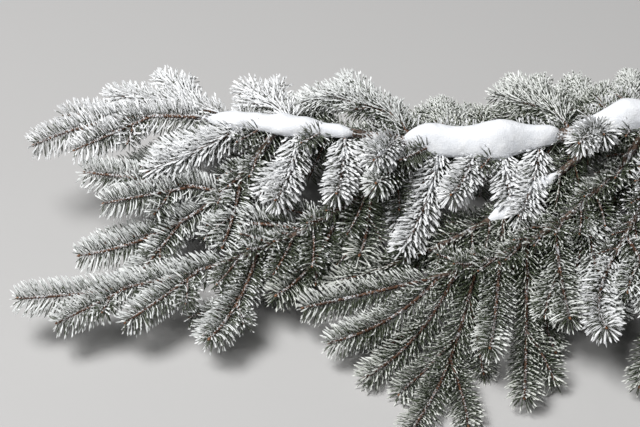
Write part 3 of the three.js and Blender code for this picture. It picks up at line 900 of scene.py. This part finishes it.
# %% Where the needles stand
def needles_on(spray, course, radii, order, number):
    """For each needle of one shoot: where it stands, the way it starts, the way it ends, its length, and its
    share of the way along the shoot. It starts at LEAN to the shoot and curves forward by CURVE, less as the
    parting is wider. The turn round a parted shoot is pressed away from the near side, until no needle is
    left in the parting. The narrower the parting, the more the needles on that side lean forward."""
    random = np.random.default_rng(3000 + number)
    count = int((course.length - FIRST_NEEDLE) / 10 * NEEDLES_PER_CM[order])
    step = (course.length - FIRST_NEEDLE - LAST_NEEDLE) / count
    distances = FIRST_NEEDLE + step * (np.arange(count) + random.uniform(0, 0.5, count))
    points, tangents = smoothed(course, distances)
    up, side = square_to(tangents)
    turn = GOLDEN_ANGLE * np.arange(count) + random.uniform(0, 6.28) + random.normal(0, TURN_SCATTER, count)
    close_in = 1 - smoothstep((course.length - distances) / BUD_STRETCH)
    facing = np.arctan2(side @ NEAR_SIDE, up @ NEAR_SIDE)
    off = (turn - facing + np.pi) % (2 * np.pi) - np.pi
    parting = parting_of(spray, order)
    press = math.radians(parting) * (1 - close_in)
    turn = facing + np.sign(off) * (press + np.abs(off) * (1 - press / np.pi))
    out = outward(turn, up, side)
    plump = (1 - parting / WIDEST_PARTING) * np.clip(np.cos(off), 0, 1)
    lean = LEAN - PLUMP_LEAN * plump - BUD_LEAN * close_in
    lean = np.radians(lean + random.normal(0, ANGLE_SCATTER, count))
    curve = CURVE - PARTED_CURVE * parting / WIDEST_PARTING - BUD_CURVE * close_in
    curve = np.radians(curve + random.normal(0, ANGLE_SCATTER, count))
    starts = np.sin(lean)[:, None] * out + np.cos(lean)[:, None] * tangents
    ends = np.sin(lean - curve)[:, None] * out + np.cos(lean - curve)[:, None] * tangents
    at_root = 1 - smoothstep(distances / ROOT_STRETCH)
    length = NEEDLE_LENGTH[order] * (1 - SHORTER_AT_ROOT * at_root) * (1 - SHORTER_AT_BUD * close_in)
    length *= AT_THE_SIDE - SHORTER_ON_TOP * up[:, 2] * np.cos(turn)
    share = distances / course.length
    feet = points + (between(radii, share) * SUNK_FOOT)[:, None] * out
    return feet, starts, ends, length * random.uniform(*LENGTH_SCATTER, count), share


bearers = [(shoot.spray, shoot.course, shoot.radii, shoot.order) for shoot in shoots]
bearers += [(spray_on[piece.name], piece.course, piece.radii, "old wood") for piece in wood.values()]
rows = [needles_on(*bearer, number) for number, bearer in enumerate(bearers)]
owner = np.concatenate([np.full(len(row[0]), number) for number, row in enumerate(rows)])
feet, starts, ends, lengths, shares = (np.concatenate(column) for column in zip(*rows))
print("needles:", len(feet))

# %% [markdown]
# A needle that would run into a twig, bough or limb that isn't its own is skipped. Every course is marked
# with a point every few millimetres, and a needle is dropped if the middle or the tip of it comes too
# close to one of another piece. The squared distances of a block of needles to all the marks are one
# matrix product. A needle of old wood that stands up under the snow is skipped too.

# %% Marks along every course
MARK_EVERY = 2.5


def marks_of(number):
    """Rows of a point on the course, the radius there and the bearer's number."""
    _, course, radii, _ = bearers[number]
    distances = np.arange(0, course.length, MARK_EVERY)
    reach = between(radii, distances / course.length)
    return np.column_stack([course.at(distances)[0], reach, np.full(len(distances), number)])


marks = np.concatenate([marks_of(number) for number in range(len(bearers))])
print("marks on all courses:", len(marks))

# %% Needles under snow or in other wood
def on_needle(share):
    """The point at this share of each needle: a straight start that bends towards the end direction."""
    return feet + lengths[:, None] * (share * starts + 0.5 * share**2 * (ends - starts))


GIVE = 0.5
BLOCKS = 80


def touches(points):
    """True where a point is inside the wood of another piece or too near it."""
    hit = np.zeros(len(points), bool)
    for block in np.array_split(np.arange(len(points)), BLOCKS):
        near = points[block]
        squared = (near**2).sum(1)[:, None] + (marks[:, :3] ** 2).sum(1) - 2 * near @ marks[:, :3].T
        inside = squared < (marks[:, 3] + GIVE) ** 2 + (MARK_EVERY / 2) ** 2
        hit[block] = (inside & (marks[:, 4] != owner[block][:, None])).any(1)
    return hit


# Name, bearer, start and end along it, half width, height, and how far the top leans to the side.
SNOW = [
    ("snow_tip", "limb", 352, 484, 13, 11, 2),
    ("snow_middle", "limb", 170, 310, 17, 24, 0),
    ("snow_butt", "limb", 42, 162, 16, 20, 2),
    ("snow_bough", "bough_near_middle", 52, 132, 8, 8, 0),
]
buried = np.zeros(len(feet), bool)
for _, name, start, end, *_ in SNOW:
    along = shares * wood[name].course.length
    on_it = owner == len(shoots) + list(wood).index(name)
    buried |= on_it & (along > start) & (along < end) & (starts[:, 2] > 0.1)
kept = ~(buried | touches(on_needle(0.5)) | touches(on_needle(0.8)) | touches(on_needle(1.0)))
feet, starts, ends = feet[kept], starts[kept], ends[kept]
lengths, shares, owner = lengths[kept], shares[kept], owner[kept]
print("needles kept:", kept.sum(), "of", len(kept))

# %% [markdown]
# The air leaves more rime on what stands high, far out and near the tip of its shoot, less on what other
# shoots cover, and less under a shoot than on top of it. For the cover, every mark counts the marks that
# lie over it. The fingers that hang in front of the limb are the whitest of all, with two more at the
# right end of the fan. The sprays on the far side, in the lee, stay greener.

# %% Cover and exposure
COVER_HEIGHT = 12.0
COVER_REACH = 13.0
COVER_FADE = 6.0
OLD_WOOD_EXPOSED = 0.5
# By the start of the spray's name.
EXPOSED = {
    "limb_near": 1.8,
    "near_front_8": 1.8,
    "near_butt_1": 1.8,
    "limb_far_2": 0.7,
    "limb_far_3": 0.7,
    "far_": 0.75,
}


def cover_over(marks):
    """For each mark, how many others lie more than the cover height over it and within the cover reach of it
    in plan."""
    plan, height = marks[:, :2], marks[:, 2]
    squared = (plan**2).sum(1)[:, None] + (plan**2).sum(1) - 2 * plan @ plan.T
    return ((squared < COVER_REACH**2) & (height[None] > height[:, None] + COVER_HEIGHT)).sum(1)


def exposure(shoot):
    """The shoot's own share, times that of its spray. Fine twigs gain nothing from the spray."""
    gain = next((gain for start, gain in EXPOSED.items() if shoot.spray.startswith(start)), 1.0)
    return shoot.exposed * (gain if shoot.order < 2 else min(gain, 1.0))


cover = cover_over(marks)
print("marks that have nothing over them:", (cover == 0).sum(), "of", len(marks))

# %% How much rime each needle gets
CATCH_ANYWHERE, CATCH_HIGH, CATCH_FAR_OUT = 0.16, 0.60, 0.48
CATCH_ALONG, CATCH_AT_TIP = 0.20, 0.62
CATCH_LEVEL, CATCH_UPRIGHT = 0.78, 0.52
LOWEST, HIGHEST, FARTHEST_OUT = 8.0, 100.0, 620.0
WHITEST = 1.3

first_mark = np.searchsorted(marks[:, 4], np.arange(len(bearers)))
exposed = np.array([exposure(shoot) for shoot in shoots] + [OLD_WOOD_EXPOSED] * len(wood))[owner]
course_lengths = np.array([course.length for _, course, *_ in bearers])[owner]
nearest_mark = first_mark[owner] + (shares * course_lengths / MARK_EVERY).astype(int)
open_air = np.exp(-cover / COVER_FADE)[nearest_mark]
high = smoothstep((feet[:, 2] - LOWEST) / (HIGHEST - LOWEST))
out = smoothstep((CUT_FACE[0] - feet[:, 0]) / FARTHEST_OUT)
catch = (CATCH_ANYWHERE + CATCH_HIGH * high + CATCH_FAR_OUT * out**2) * open_air
catch = catch + CATCH_ALONG * shares**2 + CATCH_AT_TIP * shares**5
catch = catch * exposed * (CATCH_LEVEL + CATCH_UPRIGHT * starts[:, 2])
catch = np.clip(catch, 0, np.where(exposed > 1, WHITEST, 1))
print("rime caught, least, middle and most:", np.quantile(catch, [0, 0.5, 1]).round(2))

# %% [markdown]
# ## Needle meshes
#
# A spruce needle is four-sided and keeps its width almost to its sharp tip. Two rings of four points
# between a sunk root and a tip give it both the section and the curve. The needles of the branch are not
# one green: the more rime a spray has caught, the paler it is. So the sprays are dealt out in that order
# to four plain tints, with one mesh for each. Part of the difference is a film of frost, and part is
# painted shade: the rime that a spray catches counts the shoots over it and how low it lies, so the
# covered and low sprays get the darker greens.

# %% Needle skins
WIND = np.array([-0.35, -0.25, 1.0])
NEEDLE_RINGS = ((0.3, 0.9), (0.8, 0.8))  # share of the way along, and part of the full width
NEEDLE_FLATNESS = 0.8
FLOOR_GAP, FLOOR_FADE = 0.5, 4.0
WIDTH_SCATTER = (0.88, 1.1)
SUNK_START = -0.04  # share of the way along a needle
gusts = np.random.default_rng(77).normal(0, 0.30, (len(feet), 3))


def needle_frames(share):
    """Direction of each needle at this share of it, and two directions square to it. The first of these
    turns to where the wind comes from, which is the left and above, with the rime."""
    along = unit(starts + share * (ends - starts))
    wind = WIND + gusts
    windward = unit(wind - along * (wind * along).sum(1, keepdims=True))
    return along, windward, np.cross(along, windward)


def needle_points():
    """Four-sided rings at two places along each needle, between its sunk root and its tip."""
    width = NEEDLE_WIDTH * np.random.default_rng(78).uniform(*WIDTH_SCATTER, len(feet))
    columns = [on_needle(SUNK_START)[:, None]]
    for share, part in NEEDLE_RINGS:
        _, windward, side = needle_frames(share)
        half = (0.5 * part * width)[:, None]
        middle = on_needle(share)
        thick, wide = half * NEEDLE_FLATNESS * windward, half * side
        columns.append(np.stack([middle + thick, middle + wide, middle - thick, middle - wide], 1))
    columns.append(on_needle(1.0)[:, None])
    return np.concatenate(columns, 1)


def off_the_floor(points):
    """Heights below the gap are pressed into it, because needles lie on the floor: the gap times a number
    that falls from 1 towards 0 the deeper the point would be."""
    lifted = points.copy()
    depth = np.minimum(points[..., 2] - FLOOR_GAP, 0)
    lifted[..., 2] = np.where(depth < 0, FLOOR_GAP * np.exp(depth / FLOOR_FADE), points[..., 2])
    return lifted


all_needles = off_the_floor(needle_points())
print("points in all needles:", all_needles.shape[0] * all_needles.shape[1])

# %% Tints of the sprays
# From pale to dark. The darker tints are painted shade on the covered and low sprays that they go to, as
# well as less frost.
TINTS = [
    ("hoar_grey", (0.058, 0.070, 0.040)),
    ("grey_green", (0.050, 0.064, 0.031)),
    ("dull_green", (0.044, 0.058, 0.026)),
    ("deep_green", (0.036, 0.050, 0.020)),
]
spray_names = [name for name, *_ in SPRAYS]
spray_of_needle = np.array([spray_names.index(name) for name, *_ in bearers])[owner]
needle_count = np.bincount(spray_of_needle, minlength=len(SPRAYS))
own = np.array([order in (0, 1) for *_, order in bearers])[owner]
# Sprays that catch less rime because shoots cover them or they lie low get the darker tints: painted shade
# as well as thinner frost.
by_spray = np.bincount(spray_of_needle[own], weights=catch[own]) / np.bincount(spray_of_needle[own])
ranked = np.argsort(-by_spray)
halfway = np.cumsum(needle_count[ranked]) - needle_count[ranked] / 2
tint_of_spray = np.empty(len(SPRAYS), int)
tint_of_spray[ranked] = halfway * len(TINTS) // needle_count.sum()
tint_of_needle = tint_of_spray[spray_of_needle]
print("sprays of each tint:", np.bincount(tint_of_spray))

# %% Needles
for tint, (name, colour) in enumerate(TINTS):
    wax = Finish("needle_" + name, Roughness=0.5)
    shade = wax.noise(0.004, detail=2.0)
    speck = wax.noise(0.0008, detail=2.0).between(0.56, 0.74)
    green = wax.mottled(shade, [0.72 * c for c in colour], [1.28 * c for c in colour])
    wax.colour(wax.mixed(speck * 0.4, green, RIME_WHITE))
    chosen = all_needles[tint_of_needle == tint]
    named = [spray for spray, its_tint in zip(spray_names, tint_of_spray) if its_tint == tint]
    make_many("needles_" + name, chosen, skin_faces(2, 4), wax, "needles", replaces=named)

# %% [markdown]
# ## Rime
#
# Hoarfrost grows on the windward edge of a needle, thin near its foot and thickest round the tip, where
# it makes a white knob. Needles that others cover stay bare. White on the needle's own skin would look
# painted, so each crust is a closed skin of its own, of three-sided rings: two corners clasp the needle,
# and the third stands up by an amount that jumps from ring to ring. Flat faces catch the light one by one,
# as crystals do.

# %% Rime skins
MOST_RIME = 1.4
CRUST, CRUST_GROWTH = 0.40, 0.76
CREST, CREST_SLIDE = 0.30, 0.7
# Share of the way along a needle, half width, height, and how far the foot of the crust reaches down.
RIME_RINGS = ((0.32, 0.50, 0.30, 0.0), (0.62, 0.62, 0.42, 0.2), (0.93, 0.68, 0.50, 0.5))
RIME_SCATTER, CRUST_SCATTER, CREST_SCATTER = (0.6, 1.3), (0.8, 1.2), (0.3, 1.3)
KNOB, KNOB_GROWTH = 0.2, 0.8

random = np.random.default_rng(91)
rime_share = np.clip(catch * random.uniform(*RIME_SCATTER, len(feet)), 0.0, MOST_RIME)


def rime_points():
    """Three-sided rings at three places. The crest of each stands up by a random part of the rime's share
    and slides a little along the needle, which makes the crust jagged. The last ring goes round the tip."""
    _, windward, _ = needle_frames(0.2)
    columns = [(on_needle(0.10) + 0.3 * windward)[:, None]]
    for share, wide, tall, low in RIME_RINGS:
        along, windward, side = needle_frames(share)
        thick = (CRUST + CRUST_GROWTH * rime_share) * random.uniform(*CRUST_SCATTER, len(feet))
        crest = CREST + tall * rime_share * random.uniform(*CREST_SCATTER, len(feet))
        slide = random.uniform(-CREST_SLIDE, CREST_SLIDE, len(feet))
        half = (wide * thick)[:, None]
        middle = on_needle(share)
        top = middle + crest[:, None] * windward + slide[:, None] * along
        foot = middle - low * half * windward
        columns.append(np.stack([top, foot + half * side, foot - half * side], 1))
    along, windward, _ = needle_frames(1.0)
    knob = (KNOB + KNOB_GROWTH * rime_share)[:, None] * along
    columns.append((on_needle(1.0) + knob + 0.2 * windward)[:, None])
    return np.concatenate(columns, 1)


all_rime = off_the_floor(rime_points())
print("thickest rime:", round(CRUST + CRUST_GROWTH * rime_share.max(), 2), "mm")

# %% Rime on the needles
BARE_BELOW = 0.16
# The darker whites go with the darker tints. On covered and low sprays they are thinner rime and painted
# shade.
RIME_WHITES = [(0.95, 0.96, 0.97), (0.90, 0.92, 0.91), (0.85, 0.87, 0.84), (0.81, 0.83, 0.78)]


def rime_finish(name, white):
    """Thin rime lets the green under it through, so it is a darker white. On covered and low sprays the
    darker white is also painted shade.
    """
    finish = Finish(name, Roughness=0.6)
    sparkle = finish.noise(0.0007, detail=3.0)
    finish.colour(finish.mottled(sparkle, [0.82 * c for c in white], white))
    finish.relief(sparkle, 0.0002)
    return finish


for tint, (name, _) in enumerate(TINTS):
    rime = rime_finish("rime_" + name, RIME_WHITES[tint])
    chosen = all_rime[(tint_of_needle == tint) & (rime_share > BARE_BELOW)]
    make_many("rime_" + name, chosen, skin_faces(3, 3), rime, "snow", smooth=False)

# %% [markdown]
# Grains of rime also sit on top of the shoots, on the pegs at the foot of the needles, and in the
# partings. From a step away they are the white dots along the brown shoots. Dots in the bark's colour
# would vanish between the needles, so each is a small crooked pyramid that stands out from the bark.

# %% Places of the grains
GRAINS_PER_CM = 5  # in the widest parting
GRAIN_CHANCE, GRAIN_CHANCE_ANYWHERE = 0.60, 0.05  # on a peg
GRAIN_SIZES, GRAIN_SIZES_IN_PARTING = (0.4, 1.0), (0.35, 0.85)

on_top = smoothstep(0.2 + starts[:, 2])
grains = np.flatnonzero(random.random(len(feet)) < (GRAIN_CHANCE * catch + GRAIN_CHANCE_ANYWHERE) * on_top)
size = random.uniform(*GRAIN_SIZES, (len(grains), 1)) * (0.5 + 0.6 * catch[grains, None])
out_of_bark = starts[grains] + [0, 0, 0.6]
base = feet[grains] + 0.35 * starts[grains]
for spray, course, radii, order in bearers:
    parting = parting_of(spray, order)
    if parting:
        count = int(course.length / 10 * GRAINS_PER_CM * parting / WIDEST_PARTING)
        distances = np.sort(random.uniform(0, course.length, count))
        points, tangents = smoothed(course, distances)
        side = np.cross(tangents, NEAR_SIDE)
        way = unit(NEAR_SIDE + random.uniform(-1, 1, (count, 1)) * side + [0, 0, 0.3])
        base = np.concatenate([base, points + between(radii, distances / course.length)[:, None] * way])
        out_of_bark = np.concatenate([out_of_bark, way])
        size = np.concatenate([size, random.uniform(*GRAIN_SIZES_IN_PARTING, (count, 1))])
print("grains on pegs:", len(grains), "and in partings:", len(base) - len(grains))

# %% Rime on the shoots
GRAIN_HEIGHT = 1.5
GRAIN_SUNK = 0.2
PYRAMID = np.array([[0, 1, 2], [0, 2, 3], [0, 3, 1], [1, 3, 2]])

peak = unit(out_of_bark + random.normal(0, 0.4, base.shape))
one = unit(np.cross(peak, random.normal(0, 1, peak.shape)))
two = np.cross(peak, one)
corners = [base + GRAIN_HEIGHT * size * peak]
for angle in (0.0, 2.1, 4.2):
    corners.append(base + size * (math.cos(angle) * one + math.sin(angle) * two) - GRAIN_SUNK * peak)
grain_finish = rime_finish("rime_on_bark", (0.86, 0.87, 0.88))
grain_skins = off_the_floor(np.stack(corners, 1))
make_many("rime_grains", grain_skins, PYRAMID, grain_finish, "snow", smooth=False)

# %% [markdown]
# ## Snow
#
# Snow settles along the limb as a pillow. Its section is a half round on a flat foot, it swells and sinks
# along its length, and its edge wanders where needles hold it up. It could be blobs that melt together,
# but a section carried along the limb keeps it on the wood, just where the packed snow lies. The mesh
# carries that form down to a few millimetres, and a fine bump gives the grain.

# %% Finish of snow
snow = Finish("snow", Roughness=0.8)
crystals = snow.noise(0.0011, detail=4.0)
lumps = snow.noise(0.009, detail=3.0)
snow.colour(snow.mottled(lumps, (0.74, 0.76, 0.80), (0.80, 0.81, 0.83)))
snow.relief(crystals * 0.6 + lumps, 0.0008)
print("snow is ready")

# %% Pillows of snow
END_BLUNTNESS, END_FULLNESS, EDGE_FULLNESS, TOP_FULLNESS = 3.0, 0.6, 0.9, 0.85
SLOW_WAVE, WAVE_TURN = 0.12, 14.0  # share of the height, and radians from end to end
FOOT_RISE, EDGE_SAG = 0.2, 0.18  # shares of the wood's radius and of the half width
FULL_PILLOW = 35.0
SNOW_RELIEF = ((1.2, 34.0), (0.16, 9.0), (0.08, 3.2))  # height and size of the lumps of a full pillow


def snow_skin(course, radii, start, end, half_width, height, offset, seed, every=1.5, sides=56):
    """Around each ring, the cosine of the turn gives the place across and its sine the height. Both are
    multiplied by a swell that is 1 in the middle, falls to 0 at the ends and has a slow wave in it. Relief
    of three sizes, in proportion to the pillow, is added outwards."""
    rings = int((end - start) / every)
    share = (np.arange(rings) + 0.5) / rings
    distances = start + share * (end - start)
    points, tangents = smoothed(course, distances)
    closing = np.clip(1 - np.abs(2 * share - 1) ** END_BLUNTNESS, 0, 1) ** END_FULLNESS
    swell = closing * (0.9 + SLOW_WAVE * np.cos(share * WAVE_TURN + start))
    across = unit(np.stack([-tangents[:, 1], tangents[:, 0], 0 * share], -1))
    cosine, sine = np.cos(turns(sides))[None], np.sin(turns(sides))[None]
    wide = half_width * swell[:, None] * np.sign(cosine) * np.abs(cosine) ** EDGE_FULLNESS
    upper = np.clip(sine, 0, 1) ** TOP_FULLNESS
    foot = points[:, 2:] + FOOT_RISE * between(radii, distances / course.length)[:, None]
    ring = points[:, None] + (wide + offset * upper)[..., None] * across[:, None]
    ring[..., 2] = foot + height * swell[:, None] * upper - EDGE_SAG * half_width * cosine**2
    flat = ring.reshape(-1, 3)
    middle = np.repeat(np.column_stack([points[:, :2], foot[:, 0]]), sides, axis=0)
    size = (half_width + height) / FULL_PILLOW
    reliefs = enumerate(SNOW_RELIEF)
    wander = sum(rise * ripple(flat, wave * size, seed + finer) for finer, (rise, wave) in reliefs)
    flat = flat + unit(flat - middle + 1e-6) * (size * wander * np.repeat(swell, sides))[:, None]
    ends = flat[:sides].mean(0), flat[-sides:].mean(0)
    return np.concatenate([[ends[0]], flat, [ends[1]]]), skin_faces(rings, sides)


for number, (name, bearer, *sizes) in enumerate(SNOW):
    pillow = snow_skin(wood[bearer].course, wood[bearer].radii, *sizes, seed=40 + 3 * number)
    make_piece(name + "_cover", *pillow, snow, "snow", replaces=[name])

# %% [markdown]
# Clots of snow are also caught on the shoots near the limb, between the needles. Each is a small pillow
# by the same rule that lies on its shoot.

# %% Clots of snow on the shoots
CLOT_EVERY = 24.0
CLOT_SIZES = ((9, 22), (2.0, 3.6), (2.2, 4.0))  # least and most length, height and half width
CLOT_CHANCE = 0.5
NO_CLOTS_BELOW, MOST_CLOTS_ABOVE = 45.0, 105.0

random = np.random.default_rng(17)
clots = []
for number, shoot in enumerate(shoots):
    height = shoot.course.at(shoot.course.length / 2)[0][0, 2]
    chance = CLOT_CHANCE * smoothstep((height - NO_CLOTS_BELOW) / (MOST_CLOTS_ABOVE - NO_CLOTS_BELOW))
    for start in np.arange(6, shoot.course.length - 16, CLOT_EVERY):
        length, low, wide = (random.uniform(*sizes) for sizes in CLOT_SIZES)
        if random.random() < chance and shoot.spray.startswith("limb_near_"):
            start += random.uniform(0, 8)
            sizes = start, min(start + length, shoot.course.length - 4), wide, low, 0
            clots.append(snow_skin(shoot.course, shoot.radii, *sizes, 600 + number, every=1.8, sides=14))
make_piece("snow_clots", *joined(clots), snow, "snow")

# %% [markdown]
# ## Floor and light
#
# The floor is plain and pale but not white, so that rime and snow stand out from it. The light is that of
# an overcast day: a wide soft lamp above on the left, a faint one on the right, and an even sky.

# %% Floor and lights
floor_mesh = bpy.data.meshes.new("floor")
floor_mesh.from_pydata([(-6, -6, 0), (6, -6, 0), (6, 6, 0), (-6, 6, 0)], [], [(0, 1, 2, 3)])
floor = bpy.data.objects.new("floor", floor_mesh)
floor_finish = Finish("floor", Base_Color=(0.44, 0.435, 0.43, 1.0), Roughness=0.9)
floor_mesh.materials.append(floor_finish.material)
bpy.context.scene.collection.objects.link(floor)


LIT_POINT = Vector((0, 0, 0.05))


def soft_lamp(name, place, size, power):
    """A square lamp of this size in metres that faces the lit point. Power is in watts."""
    data = bpy.data.lights.new(name, "AREA")
    data.shape = "SQUARE"
    data.size = size
    data.energy = power
    lamp = bpy.data.objects.new(name, data)
    lamp.location = place
    facing = LIT_POINT - lamp.location
    lamp.rotation_euler = facing.to_track_quat("-Z", "Y").to_euler()
    bpy.context.scene.collection.objects.link(lamp)
    print(name, "is", round(facing.length, 1), "m from the branch")


soft_lamp("key_light", (-1.6, -1.1, 3.7), 1.8, 260.0)
soft_lamp("fill_light", (2.6, -2.6, 2.0), 2.6, 6.0)
sky = bpy.data.worlds.new("sky")
sky.use_nodes = True
sky.node_tree.nodes["Background"].inputs["Color"].default_value = (0.92, 0.95, 1.0, 1.0)
sky.node_tree.nodes["Background"].inputs["Strength"].default_value = 0.038
bpy.context.scene.world = sky
